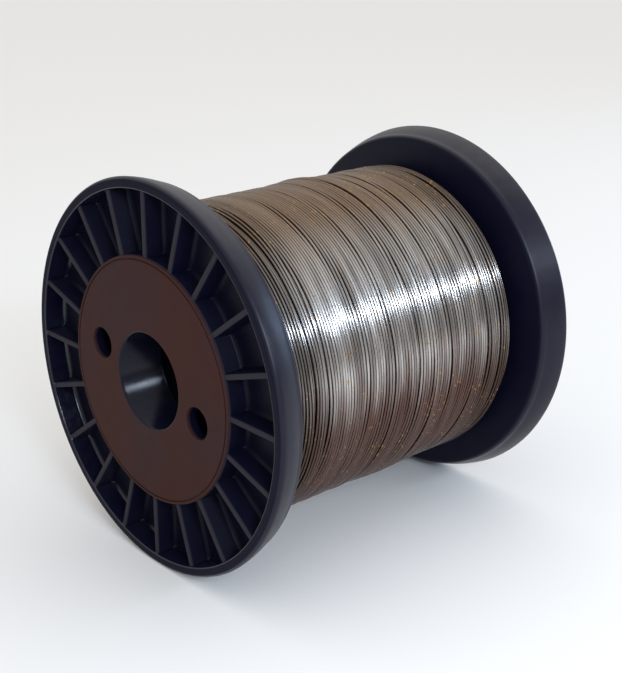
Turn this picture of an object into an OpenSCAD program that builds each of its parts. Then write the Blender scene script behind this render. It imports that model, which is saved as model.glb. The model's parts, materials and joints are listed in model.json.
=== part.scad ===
// Spool of electric fence wire: two ribbed flanges on a hollow barrel, wound with plain round wire.
// It lies on its rims, with the spool axis along X, its middle at X = 0 and the floor at Z = 0.

/* [Spool] */
// Outside diameter of both flanges
flange_d = 200; // [195:1:240]
// Length over both flanges
spool_l = 200; // [185:1:260]
// Diameter of the spindle bore
bore_d = 49; // [30:0.5:54]
// Outside diameter of the barrel, and of the hub face that stands over it
barrel_d = 125; // [122:1:135]
// Wall of the barrel tube
barrel_wall = 5; // [3:0.5:8]
// Play between pieces that fit into each other
fit_gap = 0.1; // [0.05:0.05:0.3]

/* [Flange] */
// Thickness of the flange at the barrel
seat_t = 18; // [17.5:0.5:22]
// Thickness of the flange where the rim's back rounding starts
edge_t = 17; // [15:0.5:17.5]
// Depth of the pockets between the ribs
pocket_depth = 12; // [8:0.5:13]
// Radial wall of the rim
rim_wall = 5.5; // [4.5:0.5:7]
// Rounding of the rim on its outer side
rim_front_r = 2.5; // [1:0.25:4]
// Rounding of the rim on its inner side
rim_back_r = 3; // [2:0.5:6]
// How much lower the rim is at its back than at its front
rim_taper = 3.5; // [0:0.5:5]
// Number of radial ribs
rib_count = 20; // [12:1:28]
// Thickness of a rib
rib_t = 2.8; // [2:0.2:5]
// How far the ribs stay below the outer face
rib_drop = 1; // [0.5:0.5:3]
// How far the rib ends reach into rim and hub
rib_root = 1; // [0.5:0.25:1.25]

/* [Hub] */
// Thickness of the hub face
hub_plate_t = 6; // [4:0.5:9]
// Length of the bore wall
boss_l = 26; // [20:1:34]
// Wall of the boss around the bore
boss_wall = 5; // [3:0.5:6]
// Wall of the spigot that centres the barrel
spigot_wall = 4; // [2.5:0.5:5]
// Length of the spigot inside the barrel
spigot_l = 6; // [3:1:12]
// Width of the land outside the groove around the hub face
land_w = 1.4; // [1.3:0.1:3]
// Width and depth of that groove
groove_w = 0.7; // [0.3:0.1:0.9]
// Diameter of the two drive holes
drive_d = 16; // [8:0.5:18]
// Diameter of the circle through the drive holes
drive_pcd = 80; // [78:1:82]
// Turn of the drive holes up from the horizontal, in degrees
drive_turn = 14; // [-45:1:45]

/* [Wire] */
// Diameter of the wire
wire_d = 1.6; // [1.2:0.1:2.5]
// Depth of the winding on the barrel
winding_t = 20.5; // [8:0.5:28]
// How far the outermost layer stays back from each flange seat
draw_in = 7.5; // [2:0.5:20]

/* [Hidden] */
$fn = 96;
arc_steps = 8;
flange_r = flange_d / 2;
bore_r = bore_d / 2;
barrel_r = barrel_d / 2;
pocket_r = flange_r - rim_wall;
boss_r = bore_r + boss_wall;
spigot_r = barrel_r - barrel_wall - fit_gap;
spigot_in_r = spigot_r - spigot_wall;
groove_r = barrel_r - land_w;
edge_r = flange_r - rim_taper - rim_back_r;
barrel_l = spool_l - 2 * seat_t;
wind_in_r = barrel_r + fit_gap;
wind_out_r = barrel_r + winding_t;
layer_count = max(3, round((wind_out_r - wind_in_r - wire_d) / (wire_d * sqrt(3) / 2)) + 1);
layer_step = (wind_out_r - wind_in_r - wire_d) / (layer_count - 1);
bed_l = barrel_l - 2 * fit_gap;
top_l = barrel_l - 2 * draw_in;
plastic_tint = [0.13, 0.12, 0.15];
wire_tint = [0.56, 0.54, 0.53];

// Points on an arc from angle a0 to a1 about c
function arc(c, r, a0, a1) = [for (i = [0:arc_steps]) c + r * [cos(a0 + (a1 - a0) * i / arc_steps),
    sin(a0 + (a1 - a0) * i / arc_steps)]];

// Half length of the winding at layer i, which draws in towards the top
function layer_half(i) = (bed_l + (top_l - bed_l) * i / (layer_count - 1)) / 2;

// Half section of a flange, as radius and depth below the outer face
function flange_section() = concat(
    [[bore_r, 0], [groove_r - groove_w, 0], [groove_r - groove_w, groove_w], [groove_r, groove_w]],
    [[groove_r, 0], [barrel_r, 0], [barrel_r, pocket_depth], [pocket_r, pocket_depth], [pocket_r, 0]],
    arc([flange_r - rim_front_r, rim_front_r], rim_front_r, -90, 0),
    arc([edge_r, edge_t - rim_back_r], rim_back_r, 0, 90),
    [[barrel_r, seat_t], [spigot_r, seat_t], [spigot_r, seat_t + spigot_l], [spigot_in_r, seat_t + spigot_l]],
    [[spigot_in_r, hub_plate_t], [boss_r, hub_plate_t], [boss_r, boss_l], [bore_r, boss_l]]
);

// Round ends of the layers, from the barrel outwards
function winding_end() = [for (i = [0:layer_count - 1]) each
    [for (a = [-90, -45, 0, 45, 90]) [wind_in_r + wire_d / 2 + i * layer_step + layer_step / 2 * sin(a),
        layer_half(i) - wire_d / 2 + wire_d / 2 * cos(a)]]];

// One rib between hub and rim, standing on the pocket floor
module rib() {
    rib_l = pocket_r - barrel_r + 2 * rib_root;
    translate([barrel_r - rib_root, -rib_t / 2, rib_drop])
        cube([rib_l, rib_t, pocket_depth + rib_root - rib_drop]);
}

// Flange with its outer face at Z = 0 and the barrel towards +Z
module flange() {
    difference() {
        union() {
            rotate_extrude() polygon(flange_section());
            for (i = [0:rib_count - 1])
                rotate(i * 360 / rib_count) rib();
        }
        for (side = [90, 270])
            rotate(side + drive_turn)
                translate([drive_pcd / 2, 0, -1])
                    cylinder(d = drive_d, h = hub_plate_t + 2);
    }
}

// Turns a piece built along Z so that its axis lies along X at spool height
module lay_down() {
    translate([0, 0, flange_r])
        rotate([0, 90, 0])
            children();
}

module left_flange() {
    color(plastic_tint)
        lay_down()
            translate([0, 0, -spool_l / 2])
                flange();
}

module right_flange() {
    color(plastic_tint)
        mirror([1, 0, 0])
            lay_down()
                translate([0, 0, -spool_l / 2])
                    flange();
}

module barrel_tube() {
    color(plastic_tint)
        lay_down()
            difference() {
                cylinder(r = barrel_r, h = barrel_l, center = true);
                cylinder(r = barrel_r - barrel_wall, h = barrel_l + 2, center = true);
            }
}

module wire_winding() {
    top_end = winding_end();
    points = len(top_end);
    low_end = [for (i = [points - 1:-1:0]) [top_end[i][0], -top_end[i][1]]];
    color(wire_tint)
        lay_down()
            rotate_extrude()
                polygon(concat([[wind_in_r, layer_half(0) - wire_d / 2]], top_end,
                    [[wind_out_r, layer_half(layer_count - 1) - wire_d / 2]],
                    [[wind_out_r, wire_d / 2 - layer_half(layer_count - 1)]], low_end,
                    [[wind_in_r, wire_d / 2 - layer_half(0)]]));
}

left_flange();
right_flange();
barrel_tube();
wire_winding();
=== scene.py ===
import bpy
import bmesh
import json
import math
import numpy as np
from mathutils import Matrix, Vector


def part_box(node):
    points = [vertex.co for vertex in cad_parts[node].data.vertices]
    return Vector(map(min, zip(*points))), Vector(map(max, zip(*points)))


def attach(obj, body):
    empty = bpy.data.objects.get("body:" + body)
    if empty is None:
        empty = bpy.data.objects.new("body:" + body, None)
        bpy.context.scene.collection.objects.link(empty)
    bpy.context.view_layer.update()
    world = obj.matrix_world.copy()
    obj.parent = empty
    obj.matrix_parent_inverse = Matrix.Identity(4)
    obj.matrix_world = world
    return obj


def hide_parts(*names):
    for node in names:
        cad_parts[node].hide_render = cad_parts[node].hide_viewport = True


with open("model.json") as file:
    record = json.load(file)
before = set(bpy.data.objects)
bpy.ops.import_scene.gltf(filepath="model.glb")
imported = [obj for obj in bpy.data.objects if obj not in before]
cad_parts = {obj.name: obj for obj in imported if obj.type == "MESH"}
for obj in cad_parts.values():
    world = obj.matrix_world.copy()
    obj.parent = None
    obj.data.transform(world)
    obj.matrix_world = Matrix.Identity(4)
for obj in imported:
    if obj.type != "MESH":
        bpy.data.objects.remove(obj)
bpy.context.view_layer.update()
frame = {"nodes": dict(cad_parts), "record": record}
mm = 0.001  # meshes and patterns are worked out in millimetres
mounts = {m["name"]: m for m in frame["record"]["mounts"]}
print("frame loaded:", ", ".join(sorted(frame["nodes"])))


# sizes that the frame gives, in millimetres

leftLow, leftHigh = (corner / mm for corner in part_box("left_flange"))
barrelLow, barrelHigh = (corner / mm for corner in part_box("barrel_tube"))
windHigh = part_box("wire_winding")[1] / mm
axisHeight = (barrelLow.z + barrelHigh.z) / 2
flangeRadius = (leftHigh.z - leftLow.z) / 2
barrelRadius = (barrelHigh.z - barrelLow.z) / 2
halfLength = -leftLow.x
bossLength = leftHigh.x - leftLow.x
seatThick = barrelLow.x - leftLow.x
boreRadius = mounts["spindle_bore"]["dims"]["r_mm"]
driveRadius = mounts["left_drive_holes"]["dims"]["hole_r_mm"]
driveCircle = mounts["left_drive_holes"]["dims"]["pcd_mm"] / 2


# shared helpers

def hexColour(text):  # sRGB hex to linear RGBA
    parts = [int(text[i:i + 2], 16) / 255 for i in (1, 3, 5)]
    return [p / 12.92 if p <= 0.04045 else ((p + 0.055) / 1.055) ** 2.4 for p in parts] + [1.0]


def addNode(tree, kind, settings=None, inputs=None):  # an input takes a value, a socket or a node
    node = tree.nodes.new(kind)
    for name, value in (settings or {}).items():
        setattr(node, name, value)
    for name, value in (inputs or {}).items():
        if isinstance(value, bpy.types.Node):
            value = next(socket for socket in value.outputs if socket.enabled)  # its first output in use
        if isinstance(value, bpy.types.NodeSocket):
            tree.links.new(value, node.inputs[name])
        else:
            node.inputs[name].default_value = value
    return node


def newMaterial(name):
    material = bpy.data.materials.new(name)
    material.use_nodes = True
    material.node_tree.nodes.clear()
    return material, material.node_tree


def meshObject(name, points, faces, smooth=True):
    mesh = bpy.data.meshes.new(name)
    mesh.from_pydata((np.asarray(points) * mm).tolist(), [], [list(map(int, f)) for f in faces])
    mesh.polygons.foreach_set("use_smooth", [smooth] * len(mesh.polygons))
    mesh.update()
    obj = bpy.data.objects.new(name, mesh)
    bpy.context.scene.collection.objects.link(obj)
    return obj


def gridFaces(rows, columns, closeRows, closeColumns):  # quads over a grid of points, row by row
    i = np.arange(rows if closeRows else rows - 1)
    j = np.arange(columns if closeColumns else columns - 1)
    a, b = np.meshgrid(i, j, indexing="ij")
    a, b = a.ravel(), b.ravel()
    a2, b2 = (a + 1) % rows, (b + 1) % columns
    return np.stack([a * columns + b, a * columns + b2, a2 * columns + b2, a2 * columns + b], 1)


def faceOutwards(obj, sharpAngle=None):
    mesh = bmesh.new()
    mesh.from_mesh(obj.data)
    bmesh.ops.recalc_face_normals(mesh, faces=mesh.faces)
    mesh.to_mesh(obj.data)
    mesh.free()
    if sharpAngle is not None:
        obj.data.set_sharp_from_angle(angle=math.radians(sharpAngle))


def arc(centre, radius, start, end, steps):
    angles = np.radians(np.linspace(start, end, steps + 1))
    return [(centre[0] + radius * math.cos(a), centre[1] + radius * math.sin(a)) for a in angles]


def smoothAlong(values, reach):  # gaussian average along a path, ends held
    width = int(3 * reach)
    kernel = np.exp(-0.5 * (np.arange(-width, width + 1) / reach) ** 2)
    padded = np.pad(values, width, mode="edge")
    return np.convolve(padded, kernel / kernel.sum(), mode="valid")


# camera at the photo's viewing angle

photo = {"height": 673, "azimuth": -41.64, "elevation": 19.702, "distance": 682.6,
         "focalPixels": 1274.8, "leftPixels": 9.72, "upPixels": 0.99, "sensor": 36.0}


def placeCamera():
    a, e = math.radians(photo["azimuth"]), math.radians(photo["elevation"])
    back = Vector((math.sin(a) * math.cos(e), -math.cos(a) * math.cos(e), math.sin(e)))
    right = Vector((math.cos(a), math.sin(a), 0))
    up = back.cross(right)
    data = bpy.data.cameras.new("photoCamera")
    data.sensor_width = photo["sensor"]
    data.lens = photo["focalPixels"] * photo["sensor"] / photo["height"]
    data.shift_x = photo["leftPixels"] / photo["height"]
    data.shift_y = -photo["upPixels"] / photo["height"]
    data.clip_start, data.clip_end = 0.01, 200
    camera = bpy.data.objects.new("photoCamera", data)
    bpy.context.scene.collection.objects.link(camera)
    camera.matrix_world = Matrix((right, up, back)).transposed().to_4x4()
    camera.location = Vector((0, 0, axisHeight)) * mm + back * photo["distance"] * mm
    bpy.context.scene.camera = camera


placeCamera()
print("camera placed")


# flanges: mouldings with rounded ribs, filleted pockets and a hub face inside a fine groove

flange = {"ribs": 20, "ribThick": 2.8, "ribDrop": 1.0, "ribFlat": 0.3, "rimWall": 5.5, "pocketDepth": 12.0,
          "edgeThick": 17.0, "frontRound": 2.5, "backRound": 3.0, "taper": 3.5, "crown": 0.45,
          "edgeRound": 0.6, "pocketFillet": 2.6, "boreMouth": 0.8, "landWidth": 1.4, "grooveWidth": 0.7,
          "grooveLip": (0.25, 0.2), "grooveDraft": 0.1, "plateThick": 6.0, "bossWall": 5.0, "bossBevel": 0.5,
          "spigotRadius": 57.4, "spigotWall": 4.0, "spigotLength": 6.0, "driveTurn": 14.0, "driveBevel": 0.3,
          "sharpAngle": 38}
pocketRadius = flangeRadius - flange["rimWall"]
edgeSteps = (1, 0.6, 0.25, 0)  # mesh lines over a rounded edge, as shares of its radius
filletSteps = (0.07, 0.2, 0.45, 1.0)  # the same over a fillet


def topDepth(outside, top, rounding):  # depth of a raised feature, at a distance outside its edge
    inner = np.clip(outside + rounding, 0, rounding)
    depth = top + rounding - np.sqrt(np.maximum(rounding ** 2 - inner ** 2, 0))
    return np.where(outside > 1e-6, 1e3, depth)


def filletRise(outside, fillet):  # how far a fillet lifts the floor at a distance outside a wall
    inside = np.clip(fillet - outside, 0, fillet)
    return fillet - np.sqrt(fillet ** 2 - inside ** 2)


def frontDepth(r, fromRib):  # depth of the flange's outer side below its face
    rounding, fillet = flange["edgeRound"], flange["pocketFillet"]
    hub = r - barrelRadius
    rim = pocketRadius - r
    rib = fromRib - flange["ribThick"] / 2
    tops = np.minimum(topDepth(hub, 0, rounding), topDepth(rim, 0, rounding))
    tops = np.minimum(tops, topDepth(rib, flange["ribDrop"], rounding))
    rise = np.maximum(np.maximum(filletRise(hub, fillet), filletRise(rim, fillet)), filletRise(rib, fillet))
    return np.minimum(tops, flange["pocketDepth"] - rise)


def flangeColumns(r):  # angles of the mesh columns and their distances from the nearest rib
    pitch = 2 * math.pi / flange["ribs"]
    half = flange["ribThick"] / 2
    rounding, fillet = flange["edgeRound"], flange["pocketFillet"]
    offsets = [0, half - rounding - flange["ribFlat"]] + [half - rounding * s for s in edgeSteps]
    offsets += [half + fillet * s for s in filletSteps]
    reach = np.clip(r, barrelRadius, pocketRadius)
    near = [math.asin(o / reach) for o in offsets]
    side = near + [near[-1] + (pitch / 2 - near[-1]) * s for s in (0.33, 0.67)]
    sector = side + [pitch / 2] + [pitch - a for a in reversed(side[1:])]
    angles = np.array([k * pitch + a for k in range(flange["ribs"]) for a in sector])
    turn = np.abs((angles + pitch / 2) % pitch - pitch / 2)
    return angles, r * np.sin(turn)


def flangeSection():  # radius and depth round the whole section; depth None follows the ribs
    rounding, fillet, mouth = flange["edgeRound"], flange["pocketFillet"], flange["boreMouth"]
    groove, width, draft = barrelRadius - flange["landWidth"], flange["grooveWidth"], flange["grooveDraft"]
    lipWidth, lipDepth = flange["grooveLip"]
    section = arc((boreRadius + mouth, mouth), mouth, 180, 270, 4)
    section += [(r, 0) for r in np.linspace(boreRadius + 2.5, groove - width - 1.2, 8)]  # over the hub face
    section += [(groove - width - lipWidth, 0), (groove - width, lipDepth), (groove - width + draft, width),
                (groove - draft, width), (groove, lipDepth), (groove + lipWidth, 0)]
    front = [barrelRadius - rounding * s for s in edgeSteps]
    front += [barrelRadius + fillet * s for s in filletSteps]
    front += list(np.linspace(barrelRadius + fillet, pocketRadius - fillet, 8)[1:-1])
    front += [pocketRadius - fillet * s for s in reversed(filletSteps)]
    front += [pocketRadius + rounding * s for s in reversed(edgeSteps)]
    section += [(r, None) for r in front]
    frontRound, backRound, edgeThick = flange["frontRound"], flange["backRound"], flange["edgeThick"]
    section += arc((flangeRadius - frontRound, frontRound), frontRound, -90, 0, 6)
    bandEnd = edgeThick - backRound
    edge = flangeRadius - flange["taper"] - backRound
    for s in np.linspace(0, 1, 8)[1:-1]:  # the rim narrows towards the barrel and is slightly crowned
        r = flangeRadius - flange["taper"] * s + flange["crown"] * math.sin(math.pi * s)
        section.append((r, frontRound + s * (bandEnd - frontRound)))
    section += arc((edge, bandEnd), backRound, 0, 90, 8)
    for s in (0.33, 0.67, 1.0):  # the inner side, down to the barrel's seat
        section.append((edge + s * (barrelRadius - edge), edgeThick + s * (seatThick - edgeThick)))
    spigot, spigotEnd = flange["spigotRadius"], seatThick + flange["spigotLength"]
    inner, plate = spigot - flange["spigotWall"], flange["plateThick"]
    boss, bevel = boreRadius + flange["bossWall"], flange["bossBevel"]
    section += [(spigot, seatThick), (spigot, spigotEnd), (inner, spigotEnd), (inner, plate)]
    section += [(boss, plate), (boss, bossLength), (boreRadius + bevel, bossLength)]
    section += [(boreRadius, z) for z in np.linspace(bossLength - bevel, mouth + 1.0, 6)]
    return section


def latheMesh(name, section, segments, centre, smooth=True):  # closed section turned about a line along X
    angles = np.linspace(0, 2 * math.pi, segments, endpoint=False)
    points = [(x + centre[0], r * math.cos(a) + centre[1], r * math.sin(a) + centre[2])
              for r, x in section for a in angles]
    obj = meshObject(name, points, gridFaces(len(section), segments, True, True), smooth)
    faceOutwards(obj)
    return obj


def driveCutter(side):  # its cone leaves a small bevel at the face
    turn = math.radians(flange["driveTurn"])
    across, up = side * driveCircle * math.cos(turn), side * driveCircle * math.sin(turn)
    bevel, spare, middle = flange["driveBevel"], 2, 0.02
    deep = flange["plateThick"] + spare
    section = [(middle, -spare), (driveRadius + spare + bevel, -spare), (driveRadius, bevel),
               (driveRadius, deep), (middle, deep)]
    return latheMesh("driveCutter", section, 64, (-halfLength, across, axisHeight + up), False)


def makeFlange(name, mirrored):
    points = []
    section = flangeSection()
    for r, depth in section:
        angles, fromRib = flangeColumns(r)
        depths = frontDepth(r, fromRib) if depth is None else np.full(len(angles), depth)
        ring = np.stack([depths - halfLength, r * np.cos(angles), r * np.sin(angles) + axisHeight], 1)
        points.append(ring)
    columns = len(points[0])
    obj = meshObject(name, np.concatenate(points), gridFaces(len(section), columns, True, True))
    faceOutwards(obj)
    for side in (1, -1):
        cutter = driveCutter(side)
        cut = obj.modifiers.new("driveHole", "BOOLEAN")
        cut.object, cut.solver = cutter, "EXACT"
        solid = bpy.data.meshes.new_from_object(obj.evaluated_get(bpy.context.evaluated_depsgraph_get()))
        obj.modifiers.clear()
        obj.data = solid
        bpy.data.objects.remove(cutter)
    if mirrored:
        obj.data.transform(Matrix.Scale(-1, 4, (1, 0, 0)))
    faceOutwards(obj, flange["sharpAngle"])
    obj.data.name = name
    return obj


leftMoulding = makeFlange("left_flange_moulding", False)
rightMoulding = makeFlange("right_flange_moulding", True)
print("flanges moulded:", len(leftMoulding.data.polygons), "faces each")


# wire: the last two layers are laid turn by turn, each turn resting on those below it

wire = {"diameter": 1.6, "stations": 120, "sides": 8, "seed": 18, "topCentre": 80.75, "halfSpan": 74.2,
        "underPitch": 1.67, "underLoose": 0.04, "underExtra": 1, "outerPitch": 1.66, "outerLoose": 0.26,
        "pitchSpread": 0.03, "apart": (0.1, 0.4), "gapWidth": 1.15, "gapSpread": (0.7, 1.3),
        "gaps": (-66.9, -61.0, -52.0, -27.5, -10.6, 11.0, 30.0, 41.0, 50.6, 59.4, 70.0),
        "swayKept": 0.85, "swayGain": 1.1, "swayPhase": 2.2, "slide": 0.55, "slideEase": 0.12, "pull": 0.3,
        "startAngle": -60.0, "easeAlong": 2.0, "easeRise": 3.0,
        "humpPlace": 14.0, "humpReach": 9.0, "humpRise": 0.9,
        "waves": 12, "waveRise": 0.07, "waveSpread": (0.6, 1.4), "waveLength": (6, 18), "waveTurns": (4, 10)}


def layWaves(rng):  # the unevenness of the layers below, as waves along the spool and around it
    waves = []
    for _ in range(wire["waves"]):
        rise = wire["waveRise"] * rng.uniform(*wire["waveSpread"])
        along = 2 * math.pi / rng.uniform(*wire["waveLength"])
        around = rng.integers(*wire["waveTurns"]) * rng.choice((-1, 1))
        waves.append((rise, along, around, rng.uniform(0, 2 * math.pi)))
    return waves


def bedRadius(x, waves):  # what the turns lie on: uneven layers, with more wire in one place
    angles = np.linspace(0, 2 * math.pi, wire["stations"], endpoint=False)
    hump = wire["humpRise"] * np.exp(-0.5 * ((x - wire["humpPlace"]) / wire["humpReach"]) ** 2)
    uneven = sum(rise * np.sin(along * x + around * angles + shift) for rise, along, around, shift in waves)
    return wire["topCentre"] - wire["diameter"] + hump + uneven


def restingRadius(x, below):  # radius at which a turn lies on the turns below
    layX, layR, waves = below
    bed = bedRadius(x, waves)
    gap = np.abs(layX - x)
    over = layR + np.sqrt(np.maximum(wire["diameter"] ** 2 - gap ** 2, 0))
    lift = np.where(gap < wire["diameter"], over, bed)
    return np.maximum(bed, lift.max(axis=0))


def smoothRound(values, reach):  # gaussian average around a closed turn, reach in radians
    waves = np.fft.rfftfreq(len(values)) * len(values)
    return np.fft.irfft(np.fft.rfft(values) * np.exp(-0.5 * (waves * reach) ** 2), len(values))


def layTurn(x, below):  # lets a turn slide into the nearest groove, then rests it
    shifts = np.linspace(-wire["slide"], wire["slide"], 11) * wire["diameter"]
    trials = np.stack([restingRadius(x + s, below) + wire["pull"] * abs(s) for s in shifts])
    x = x + smoothRound(shifts[trials.argmin(axis=0)], wire["slideEase"])
    return x, restingRadius(x, below)


def windLayer(starts, below):  # starts: X of each turn's beginning, with the sway of each turn
    share = np.linspace(0, 1, wire["stations"], endpoint=False)
    pathX, pathR = [], []
    for (x0, sway0), (x1, sway1) in zip(starts[:-1], starts[1:]):
        sway = (sway0 + (sway1 - sway0) * share) * np.sin(2 * math.pi * share + wire["swayPhase"])
        x, r = layTurn(x0 + (x1 - x0) * share + sway, below)
        below = (np.vstack([below[0], x]), np.vstack([below[1], r]), below[2])
        pathX.append(x)
        pathR.append(r)
    return np.concatenate(pathX), np.concatenate(pathR), below


def sweepWire(name, x, r):  # round tube along the wound path
    count, sides = len(x), wire["sides"]
    x, r = smoothAlong(x, wire["easeAlong"]), smoothAlong(r, wire["easeRise"])
    around = 2 * math.pi * np.arange(count) / wire["stations"] + math.radians(wire["startAngle"])
    section = 2 * math.pi * np.arange(sides) / sides
    half = wire["diameter"] / 2
    across = half * np.cos(section)[None, :]
    radius = r[:, None] + half * np.sin(section)[None, :]
    points = np.stack([x[:, None] + across, radius * np.cos(around)[:, None],
                       radius * np.sin(around)[:, None] + axisHeight], 2).reshape(-1, 3)
    faces = [list(f) for f in gridFaces(count, sides, False, True)]
    faces.append(list(range(sides)))
    faces.append([(count - 1) * sides + k for k in range(sides)])
    obj = meshObject(name, points, faces)
    faceOutwards(obj)
    return obj


def turnStarts(rng, begin, end, pitch, loose, gaps=()):  # where the turns of a layer begin
    heading = 1 if end > begin else -1
    x, sway = begin, 0.0
    starts = [(x, sway)]
    while (end - x) * heading > 0:
        step = pitch * (1 + wire["pitchSpread"] * rng.standard_normal())
        chance = rng.random()
        if any(0 <= (gap - x) * heading < step for gap in gaps):
            step += wire["gapWidth"] * rng.uniform(*wire["gapSpread"])  # a gap that shows the layer below
        elif chance < loose:
            step += wire["diameter"] * rng.uniform(*wire["apart"])  # a turn laid a little apart
        x += heading * step
        sway = wire["swayKept"] * sway + wire["swayGain"] * loose * rng.standard_normal()
        starts.append((x, sway))
    return starts


def windWire():
    rng = np.random.default_rng(wire["seed"])
    outerEnd, underEnd = wire["halfSpan"], wire["halfSpan"] + wire["underExtra"]
    bare = (np.full((1, wire["stations"]), 1e3), np.zeros((1, wire["stations"])), layWaves(rng))
    underStarts = turnStarts(rng, -underEnd, underEnd, wire["underPitch"], wire["underLoose"])
    underX, underR, below = windLayer(underStarts, bare)
    outerStarts = turnStarts(rng, outerEnd, -outerEnd, wire["outerPitch"], wire["outerLoose"], wire["gaps"])
    outerX, outerR = windLayer(outerStarts, below)[:2]
    return [sweepWire("wire_under_turns", underX, underR), sweepWire("wire_outer_turns", outerX, outerR)]


turns = windWire()
print("wire laid:", [len(t.data.polygons) for t in turns], "faces")


# the wire under those turns: layers whose round ends show towards the flanges

core = {"layers": 12, "segments": 160, "endPoints": 5, "play": 0.1, "overhang": 1.2}


def makeCore():
    half = wire["diameter"] / 2
    top = wire["topCentre"] - wire["diameter"] - half - core["play"]
    inner = barrelRadius + core["play"]
    rise = (top - inner) / core["layers"]
    topHalf = wire["halfSpan"] + core["overhang"]
    bedHalf = windHigh.x
    end = []
    for i in range(core["layers"]):
        reach = bedHalf + (topHalf - bedHalf) * i / (core["layers"] - 1)
        for a in np.linspace(-90, 90, core["endPoints"]):
            end.append((inner + rise * (i + 0.5) + rise / 2 * math.sin(math.radians(a)),
                        reach - half + half * math.cos(math.radians(a))))
    section = end + [(r, -x) for r, x in reversed(end)]
    return latheMesh("wire_core", section, core["segments"], (0, 0, axisHeight))


wireCore = makeCore()
print("core turned:", len(wireCore.data.polygons), "faces")


# materials, with pattern sizes in millimetres

softStep = {"interpolation_type": "SMOOTHSTEP"}  # settings that several nodes share
colourMix = {"data_type": "RGBA"}
multiply = {"operation": "MULTIPLY"}
# the rib-top grey and the hub brown are painted reflections on the flat outer faces
plastic = {"body": ("#08091b", "#0f0e21"), "ribTopReflection": "#2a272f", "hub": ("#352021", "#3a1e17"),
           "upwardGrey": "#5e5858", "ior": 1.54, "specular": 0.12, "rubbedSpecular": 0.24, "cornerSpecular": 0.4,
           "boreSpecular": 0.2, "wallRough": 0.34, "faceRough": 0.62, "roughSpread": 0.14,
           "rubbedRough": (0.27, 0.42), "polishedRough": (0.08, 0.28), "patch": 9, "hubPatch": 45,
           "rubbedPatch": 6, "polishedPatch": 5, "wearPatch": 3,
           "faceDepth": (2.2, 1.2), "rimSoft": 1.2, "hubSoft": 0.3,  # where the face's colours set in
           "grain": 0.7, "grainDepth": 0.08,  # coarser than a mould's own grain, so that it shows
           "ringPitch": 0.4, "ringDepth": 0.21}  # coarser than real turning marks, for the same reason


def spoolPlace(tree):  # object coordinates, their axes, distance from the middle and height over the axis
    place = addNode(tree, "ShaderNodeTexCoord").outputs["Object"]
    axes = addNode(tree, "ShaderNodeSeparateXYZ", inputs={"Vector": place}).outputs
    away = addNode(tree, "ShaderNodeMath", {"operation": "ABSOLUTE"}, {0: axes["X"]})
    up = addNode(tree, "ShaderNodeMath", {"operation": "SUBTRACT"}, {0: axes["Z"], 1: axisHeight * mm})
    return place, axes, away, up


def mouldGrain(tree, place):  # the fine unevenness that a mould leaves
    grain = addNode(tree, "ShaderNodeTexNoise", inputs={
        "Vector": place, "Scale": 1 / (plastic["grain"] * mm), "Detail": 3.0})
    return addNode(tree, "ShaderNodeBump", inputs={
        "Strength": 0.12, "Distance": plastic["grainDepth"] * mm, "Height": grain})


def mouldedAbs():  # moulded black ABS: dull navy black, with the hub face browned and the rib tops greyed by painted reflections
    material, tree = newMaterial("moulded black ABS")
    place, axes, away, up = spoolPlace(tree)
    deep, shallow = plastic["faceDepth"]
    rimSoft, hubSoft = plastic["rimSoft"], plastic["hubSoft"]
    flat = addNode(tree, "ShaderNodeCombineXYZ", inputs={"Y": axes["Y"], "Z": up})
    radius = addNode(tree, "ShaderNodeVectorMath", {"operation": "LENGTH"}, {0: flat})
    face = addNode(tree, "ShaderNodeMapRange", softStep, {
        "Value": away, "From Min": (halfLength - deep) * mm, "From Max": (halfLength - shallow) * mm})
    inRim = addNode(tree, "ShaderNodeMapRange", softStep, {
        "Value": radius, "From Min": (pocketRadius + rimSoft) * mm, "From Max": pocketRadius * mm})
    inHub = addNode(tree, "ShaderNodeMapRange", softStep, {
        "Value": radius,
        "From Min": (barrelRadius + hubSoft) * mm, "From Max": (barrelRadius - hubSoft) * mm})
    # painted reflections: the rib tops are greyed and the hub face is browned
    ribTop = addNode(tree, "ShaderNodeMath", multiply, {0: face, 1: inRim})
    hubFace = addNode(tree, "ShaderNodeMath", multiply, {0: face, 1: inHub})
    patches = addNode(tree, "ShaderNodeTexNoise", inputs={
        "Vector": place, "Scale": 1 / (plastic["patch"] * mm), "Detail": 6.0})
    hubPatches = addNode(tree, "ShaderNodeTexNoise", inputs={
        "Vector": place, "Scale": 1 / (plastic["hubPatch"] * mm), "Detail": 5.0})
    hubTone = addNode(tree, "ShaderNodeMapRange", softStep, {
        "Value": hubPatches, "From Min": 0.3, "From Max": 0.7})
    black = addNode(tree, "ShaderNodeMix", colourMix, {
        "Factor": patches, "A": hexColour(plastic["body"][0]), "B": hexColour(plastic["body"][1])})
    hubReflection = addNode(tree, "ShaderNodeMix", colourMix, {
        "Factor": hubTone, "A": hexColour(plastic["hub"][0]), "B": hexColour(plastic["hub"][1])})
    ribbed = addNode(tree, "ShaderNodeMix", colourMix, {
        "Factor": ribTop, "A": black, "B": hexColour(plastic["ribTopReflection"])})
    colour = addNode(tree, "ShaderNodeMix", colourMix, {"Factor": hubFace, "A": ribbed, "B": hubReflection})
    dull = addNode(tree, "ShaderNodeMapRange", inputs={
        "Value": face, "To Min": plastic["wallRough"], "To Max": plastic["faceRough"]})
    rough = addNode(tree, "ShaderNodeMath", {"operation": "MULTIPLY_ADD"}, {
        0: patches, 1: plastic["roughSpread"], 2: dull})
    shader = addNode(tree, "ShaderNodeBsdfPrincipled", inputs={
        "Base Color": colour, "Roughness": rough, "IOR": plastic["ior"],
        "Specular IOR Level": plastic["specular"], "Normal": mouldGrain(tree, place)})
    addNode(tree, "ShaderNodeOutputMaterial", inputs={"Surface": shader})
    return material


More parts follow.
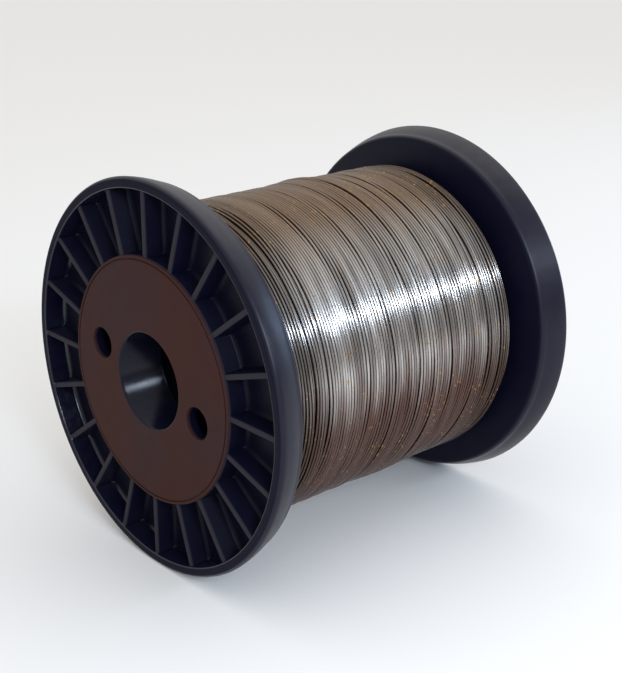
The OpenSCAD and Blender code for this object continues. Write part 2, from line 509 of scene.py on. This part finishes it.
def rubbedAbs():  # rims rubbed by rolling: the same black with a broad sheen, and lighter grey where it faces up
    material, tree = newMaterial("rubbed black ABS")
    texture = addNode(tree, "ShaderNodeTexCoord").outputs
    facing = addNode(tree, "ShaderNodeSeparateXYZ", inputs={"Vector": texture["Normal"]}).outputs
    patches = addNode(tree, "ShaderNodeTexNoise", inputs={
        "Vector": texture["Object"], "Scale": 1 / (plastic["rubbedPatch"] * mm), "Detail": 7.0})
    # a lighter grey where the rim faces up
    facingUp = addNode(tree, "ShaderNodeMapRange", softStep, {
        "Value": facing["Z"], "From Min": 0.6, "From Max": 1.02, "To Max": 0.38})
    uneven = addNode(tree, "ShaderNodeMapRange", softStep, {
        "Value": patches, "From Min": -0.3, "From Max": 0.75})
    greyedUp = addNode(tree, "ShaderNodeMath", multiply, {0: facingUp, 1: uneven})
    black = addNode(tree, "ShaderNodeMix", colourMix, {
        "Factor": patches, "A": hexColour(plastic["body"][0]), "B": hexColour(plastic["body"][1])})
    colour = addNode(tree, "ShaderNodeMix", colourMix, {
        "Factor": greyedUp, "A": black, "B": hexColour(plastic["upwardGrey"])})
    rough = addNode(tree, "ShaderNodeMapRange", inputs={
        "Value": patches, "To Min": plastic["rubbedRough"][0], "To Max": plastic["rubbedRough"][1]})
    shader = addNode(tree, "ShaderNodeBsdfPrincipled", inputs={
        "Base Color": colour, "Roughness": rough, "IOR": plastic["ior"],
        "Specular IOR Level": plastic["rubbedSpecular"], "Normal": mouldGrain(tree, texture["Object"])})
    addNode(tree, "ShaderNodeOutputMaterial", inputs={"Surface": shader})
    return material


def polishedAbs(name, specular, rings):  # walls left smooth by the mould: deep black, clear reflections
    material, tree = newMaterial(name)
    place = addNode(tree, "ShaderNodeTexCoord").outputs["Object"]
    wear = addNode(tree, "ShaderNodeTexNoise", inputs={
        "Vector": place, "Scale": 1 / (plastic["wearPatch"] * mm), "Detail": 3.0})
    patches = addNode(tree, "ShaderNodeTexNoise", inputs={
        "Vector": place, "Scale": 1 / (plastic["polishedPatch"] * mm), "Detail": 4.0})
    rough = addNode(tree, "ShaderNodeMapRange", inputs={
        "Value": wear, "To Min": plastic["polishedRough"][0], "To Max": plastic["polishedRough"][1]})
    black = addNode(tree, "ShaderNodeMix", colourMix, {
        "Factor": patches, "A": hexColour(plastic["body"][0]), "B": hexColour(plastic["body"][1])})
    shader = addNode(tree, "ShaderNodeBsdfPrincipled", inputs={
        "Base Color": black, "Roughness": rough, "IOR": plastic["ior"], "Specular IOR Level": specular})
    if rings:  # turned steps, which draw a lamp out into a streak
        along = addNode(tree, "ShaderNodeSeparateXYZ", inputs={"Vector": place}).outputs["X"]
        away = addNode(tree, "ShaderNodeMath", {"operation": "ABSOLUTE"}, {0: along})
        depth = addNode(tree, "ShaderNodeCombineXYZ", inputs={"X": away})
        waveScale = math.pi / 10 / (plastic["ringPitch"] * mm)  # at scale 1 a wave is pi / 10 long
        steps = addNode(tree, "ShaderNodeTexWave", {"bands_direction": "X", "wave_profile": "SAW"}, {
            "Vector": depth, "Scale": waveScale})
        bump = addNode(tree, "ShaderNodeBump", {"invert": True}, {
            "Strength": 1.0, "Distance": plastic["ringDepth"] * mm, "Height": steps.outputs["Fac"]})
        tree.links.new(bump.outputs[0], shader.inputs["Normal"])
    addNode(tree, "ShaderNodeOutputMaterial", inputs={"Surface": shader})
    return material


# each painted tone has its colour, where it begins, where it is full and how much it covers there; places
# are degrees up the winding, and for the shade towards the flanges millimetres from the middle
steel = {"metal": ("#8a8683", "#cac7c4"), "rough": (0.02, 0.34), "topReflection": ("#7a624b", 38, 70, 0.85),
         "lowReflection": ("#53352b", 18, -14, 0.9), "endShade": ("#3d332d", 40, 72, 0.62), "goldGlint": "#b58a54",
         "turnStreak": 2.4, "groupStreak": 8, "drawnOut": 0.07, "glintPatch": 11, "glintSpeck": 1.8}


def drawnWire():  # drawn zinc-coated steel: grey metal in long streaks, with painted brown reflections over the top and underneath, painted shade towards the flanges and painted gold glints as specks
    material, tree = newMaterial("drawn galvanised steel wire")
    place, axes, away, up = spoolPlace(tree)
    side = addNode(tree, "ShaderNodeMath", {"operation": "ABSOLUTE"}, {0: axes["Y"]})
    slope = addNode(tree, "ShaderNodeMath", {"operation": "ARCTAN2"}, {0: up, 1: side})
    along = addNode(tree, "ShaderNodeVectorMath", multiply, {
        0: place, 1: (1, steel["drawnOut"], steel["drawnOut"])})  # draws patterns out along the wire
    turnStreaks = addNode(tree, "ShaderNodeTexNoise", inputs={
        "Vector": along, "Scale": 1 / (steel["turnStreak"] * mm), "Detail": 3.0})
    groupStreaks = addNode(tree, "ShaderNodeTexNoise", inputs={
        "Vector": along, "Scale": 1 / (steel["groupStreak"] * mm), "Detail": 2.0})
    streaks = addNode(tree, "ShaderNodeMix", inputs={"Factor": 0.45, "A": turnStreaks, "B": groupStreaks})
    uneven = addNode(tree, "ShaderNodeMath", {"operation": "MULTIPLY_ADD"}, {0: streaks, 1: 0.5, 2: -0.25})
    height = addNode(tree, "ShaderNodeMath", {"operation": "ADD"}, {0: slope, 1: uneven})
    bright = addNode(tree, "ShaderNodeMapRange", softStep, {
        "Value": streaks, "From Min": 0.34, "From Max": 0.66})
    colour = addNode(tree, "ShaderNodeMix", colourMix, {
        "Factor": bright, "A": hexColour(steel["metal"][0]), "B": hexColour(steel["metal"][1])})
    degree = math.radians(1)
    # painted warm reflection over the top of the winding, painted dark brown reflection underneath, painted
    # shade towards the flanges
    paintedTones = (("topReflection", height, degree), ("lowReflection", height, degree), ("endShade", away, mm))
    for paintedTone, measure, unit in paintedTones:
        tint, begin, full, most = steel[paintedTone]
        cover = addNode(tree, "ShaderNodeMapRange", softStep, {
            "Value": measure, "From Min": begin * unit, "From Max": full * unit, "To Max": most})
        colour = addNode(tree, "ShaderNodeMix", colourMix, {
            "Factor": cover, "A": colour, "B": hexColour(tint)})
    # painted gold glints: warm specks scattered over the wire stand in for glints of warm lamps
    patches = addNode(tree, "ShaderNodeTexNoise", inputs={
        "Vector": place, "Scale": 1 / (steel["glintPatch"] * mm), "Detail": 5.0})
    specks = addNode(tree, "ShaderNodeTexNoise", inputs={
        "Vector": place, "Scale": 1 / (steel["glintSpeck"] * mm), "Detail": 2.0})
    glintZone = addNode(tree, "ShaderNodeMapRange", softStep, {
        "Value": patches, "From Min": 0.48, "From Max": 0.6, "To Max": 0.8})
    speck = addNode(tree, "ShaderNodeMapRange", softStep, {
        "Value": specks, "From Min": 0.6, "From Max": 0.68})
    goldGlint = addNode(tree, "ShaderNodeMath", multiply, {0: speck, 1: glintZone})
    colour = addNode(tree, "ShaderNodeMix", colourMix, {
        "Factor": goldGlint, "A": colour, "B": hexColour(steel["goldGlint"])})
    rough = addNode(tree, "ShaderNodeMapRange", inputs={
        "Value": streaks, "To Min": steel["rough"][0], "To Max": steel["rough"][1]})
    shader = addNode(tree, "ShaderNodeBsdfPrincipled", inputs={
        "Base Color": colour, "Metallic": 1.0, "Roughness": rough})
    addNode(tree, "ShaderNodeOutputMaterial", inputs={"Surface": shader})
    return material


absMaterial = mouldedAbs()
rimMaterial = rubbedAbs()
cornerMaterial = polishedAbs("polished black ABS", plastic["cornerSpecular"], False)
boreMaterial = polishedAbs("turned black ABS", plastic["boreSpecular"], True)
wireMaterial = drawnWire()
print("materials mixed")


def finishPiece(obj, material, replaced=None):
    obj.data.materials.clear()
    obj.data.materials.append(material)
    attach(obj, "root")
    if replaced:
        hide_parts(replaced)


def finishFaces(obj):  # the rim, the pockets' outer corners and the bore take finishes of their own
    for material in (rimMaterial, cornerMaterial, boreMaterial):
        obj.data.materials.append(material)
    cornerRadius = (pocketRadius - flange["pocketFillet"]) * mm
    boreEdge = (boreRadius + 0.6) * mm
    for face in obj.data.polygons:
        y, z = face.center.y, face.center.z - axisHeight * mm
        radius = math.hypot(y, z)
        outward = (face.normal.y * y + face.normal.z * z) / radius  # 1 away from the axis, -1 towards it
        if outward > 0.5 and radius > pocketRadius * mm:
            face.material_index = 1
        elif outward < -0.15 and radius > cornerRadius:
            face.material_index = 2
        elif outward < -0.5 and radius < boreEdge:
            face.material_index = 3


finishPiece(leftMoulding, absMaterial, "left_flange")
finishPiece(rightMoulding, absMaterial, "right_flange")
finishFaces(leftMoulding)
finishFaces(rightMoulding)
finishPiece(wireCore, wireMaterial, "wire_winding")
for piece in turns:
    finishPiece(piece, wireMaterial)
barrel = frame["nodes"]["barrel_tube"]
barrel.data.materials.clear()
barrel.data.materials.append(absMaterial)
print("pieces finished")


# plain pale floor, soft studio light and a white surround

studio = {"floorHalf": 60000.0, "floorColour": "#f3f1ee", "floorRough": 0.9, "horizon": 0.6, "zenith": 1.35}
window = {"name": "keyWindow", "place": (-480, -940, 516), "wide": 240.0, "high": 240.0,
          "watts": 4.0, "tint": "#d8eaff"}
tube = {"name": "coolTube", "place": (100, -1012, 546), "wide": 2000.0, "high": 20.0,
        "watts": 6.4, "tint": "#dcecff"}
panel = {"name": "sidePanel", "place": (1425, -330, 315), "wide": 500.0, "high": 500.0,
         "watts": 3.2, "tint": "#b8d8ff"}


def makeFloor():
    half = studio["floorHalf"]
    corners = [(-half, -half, 0), (half, -half, 0), (half, half, 0), (-half, half, 0)]
    floor = meshObject("floor", corners, [(0, 1, 2, 3)])
    material, tree = newMaterial("pale floor paint")
    shader = addNode(tree, "ShaderNodeBsdfPrincipled", inputs={
        "Base Color": hexColour(studio["floorColour"]), "Roughness": studio["floorRough"]})
    addNode(tree, "ShaderNodeOutputMaterial", inputs={"Surface": shader})
    floor.data.materials.append(material)


def makeSurround():  # a bright ceiling that falls off towards the horizon
    world = bpy.data.worlds.new("surround")
    bpy.context.scene.world = world
    world.use_nodes = True
    tree = world.node_tree
    tree.nodes.clear()
    toward = addNode(tree, "ShaderNodeTexCoord").outputs["Generated"]
    axes = addNode(tree, "ShaderNodeSeparateXYZ", inputs={"Vector": toward}).outputs
    strength = addNode(tree, "ShaderNodeMapRange", inputs={
        "Value": axes["Z"], "To Min": studio["horizon"], "To Max": studio["zenith"]})
    light = addNode(tree, "ShaderNodeBackground", inputs={"Strength": strength})
    addNode(tree, "ShaderNodeOutputWorld", inputs={"Surface": light})


def makeLamp(lamp):  # an area lamp, its place measured from the middle of the spool
    data = bpy.data.lights.new(lamp["name"], "AREA")
    data.shape = "RECTANGLE"
    data.size, data.size_y = lamp["wide"] * mm, lamp["high"] * mm
    data.energy = lamp["watts"]
    data.color = hexColour(lamp["tint"])[:3]
    obj = bpy.data.objects.new(lamp["name"], data)
    bpy.context.scene.collection.objects.link(obj)
    aim = Vector(lamp["place"]) * mm
    obj.location = Vector((0, 0, axisHeight)) * mm + aim
    if lamp["wide"] > lamp["high"]:
        aim.x = 0  # a tube stays parallel to the spool
    obj.rotation_euler = (-aim).to_track_quat("-Z", "Y").to_euler()


makeFloor()
makeSurround()
for lamp in (window, tube, panel):
    makeLamp(lamp)
bpy.context.scene.view_settings.view_transform = "Standard"
print("studio lit")
